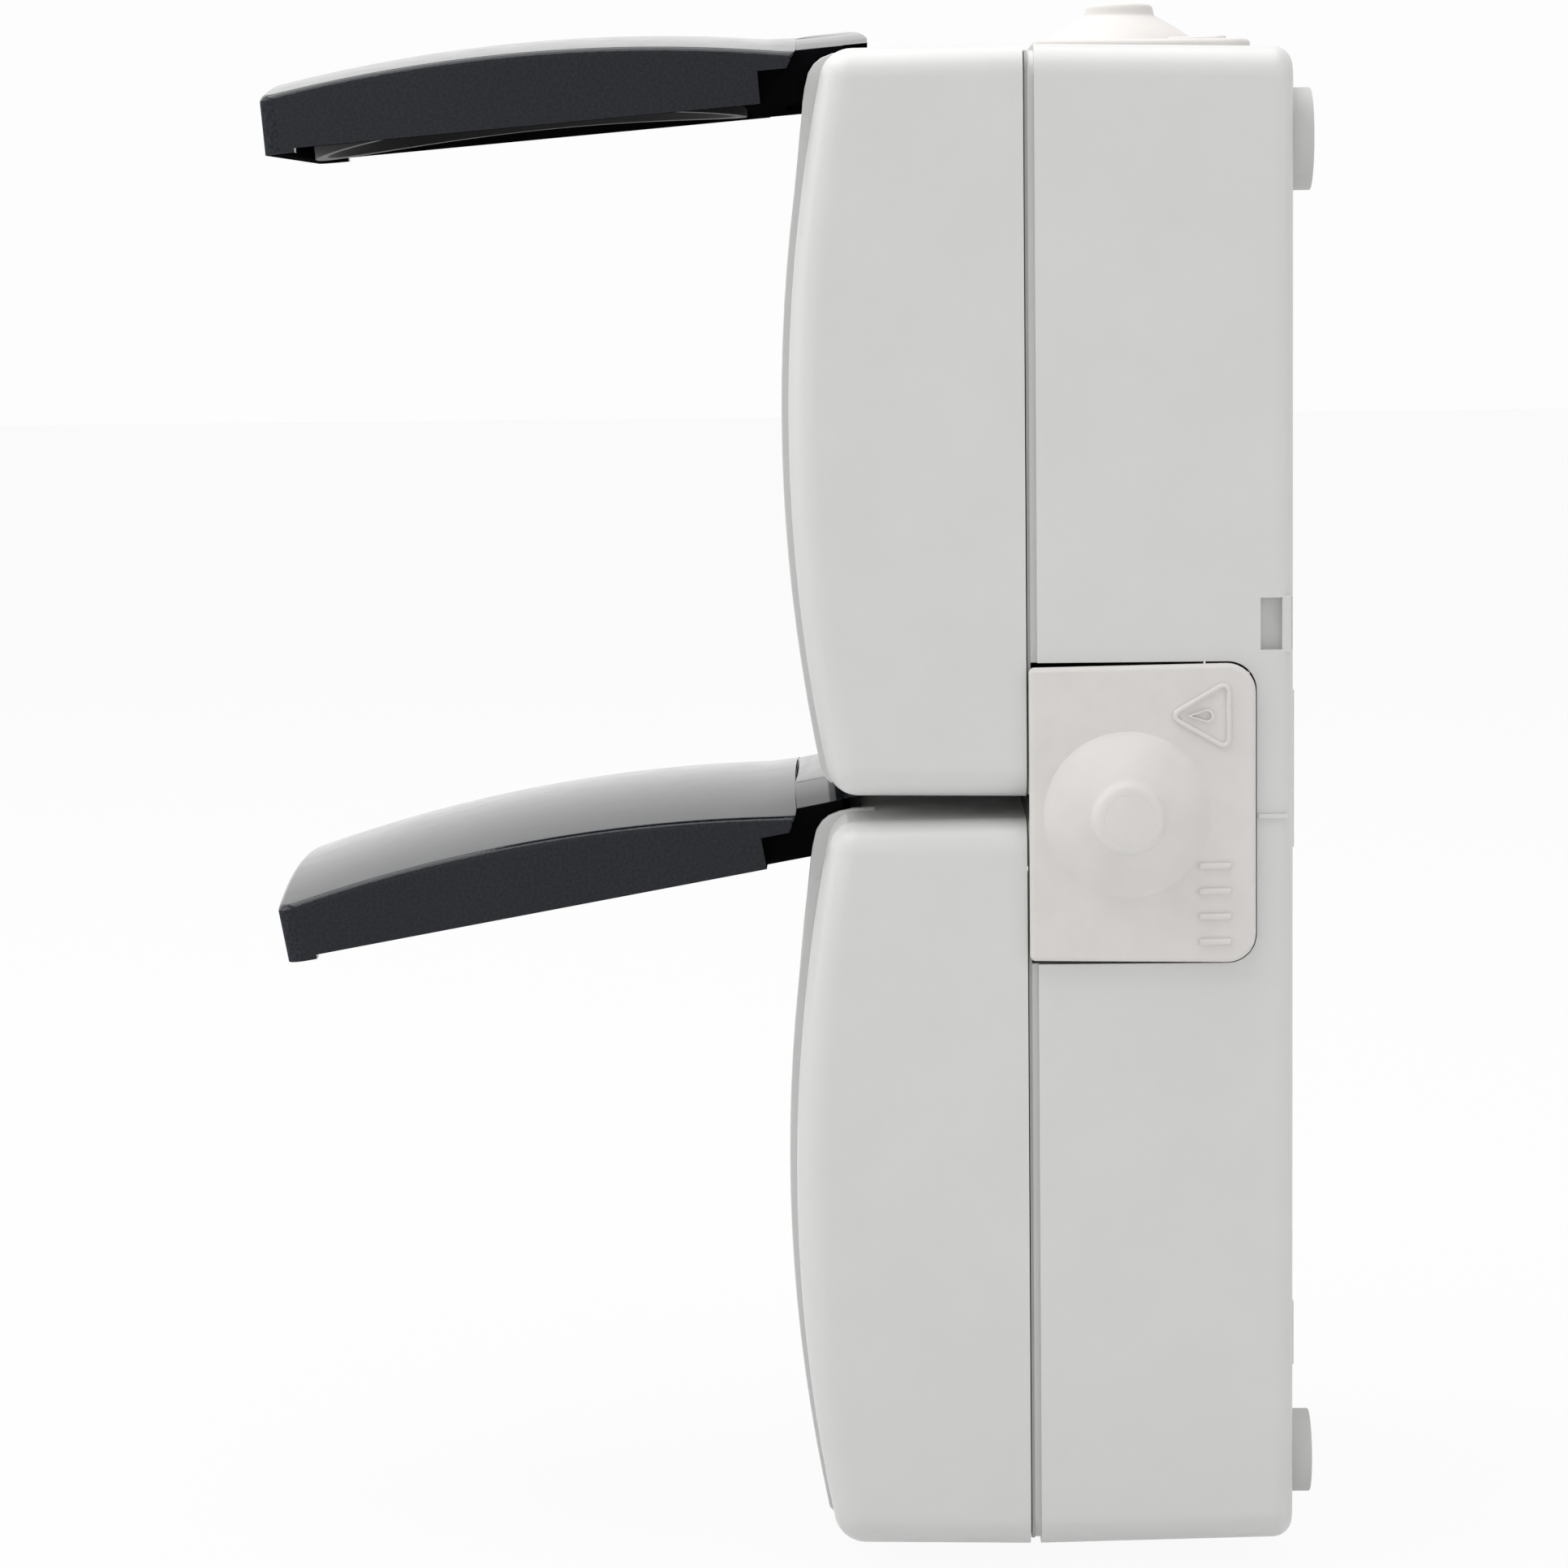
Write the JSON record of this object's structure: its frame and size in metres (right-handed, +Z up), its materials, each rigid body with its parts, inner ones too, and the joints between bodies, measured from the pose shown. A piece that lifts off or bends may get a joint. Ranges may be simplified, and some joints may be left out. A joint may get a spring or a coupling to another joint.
{
  "type": "outdoor weatherproof socket",
  "caption": "Upright surface-mounted weatherproof socket outlet with hinged dark lids standing open over round plug wells, and soft domed cable-entry tiles.",
  "frame": {"origin": "middle of the wall plane behind the housing", "axes": "+Z up, -Y toward the viewer in front of the socket, +Y into the wall, +X to the side with the entry tile in view"},
  "size_m": [0.076, 0.0977, 0.145],
  "materials": {
    "housing": "satin light grey",
    "lid": "fine-textured dark grey",
    "entry_tile": "matt soft light grey",
    "seal": "matt black",
    "wall_disc": "matt soft grey",
    "insert": "plain off-white",
    "brass": "bright",
    "zinc_steel": "zinc plated",
    "hinge_pin": "plain"
  },
  "bodies": {
    "housing": {"base_box": "housing", "entry_tile_right": "entry_tile", "entry_tile_left": "entry_tile", "entry_tile_top": "entry_tile", "wall_discs_upper": "wall_disc", "wall_discs_lower": "wall_disc", "cover_upper": "housing", "cover_seal_upper": "seal", "hinge_pin_upper": "hinge_pin", "cover_screw_upper": "zinc_steel", "insert_body_upper": "insert", "earth_strap_upper": "brass", "support_frame_upper": "zinc_steel", "frame_screws_upper": "zinc_steel", "contact_live_upper": "brass", "contact_neutral_upper": "brass", "terminal_screws_upper": "zinc_steel", "cover_lower": "housing", "cover_seal_lower": "seal", "hinge_pin_lower": "hinge_pin", "cover_screw_lower": "zinc_steel", "insert_body_lower": "insert", "earth_strap_lower": "brass", "support_frame_lower": "zinc_steel", "frame_screws_lower": "zinc_steel", "contact_live_lower": "brass", "contact_neutral_lower": "brass", "terminal_screws_lower": "zinc_steel"},
    "lid_upper_body": {"lid_upper": "lid", "lid_gasket_upper": "seal"},
    "lid_lower_body": {"lid_lower": "lid", "lid_gasket_lower": "seal"}
  },
  "joints": [
    {"name": "lid_upper_hinge", "type": "hinge", "parent": "housing", "child": "lid_upper_body", "pos_m": [0, -0.0453, 0.0625], "axis": [1, 0, 0], "range_deg": [0, 85.3]},
    {"name": "lid_lower_hinge", "type": "hinge", "parent": "housing", "child": "lid_lower_body", "pos_m": [0, -0.0453, -0.0085], "axis": [1, 0, 0], "range_deg": [0, 79.7]}
  ]
}
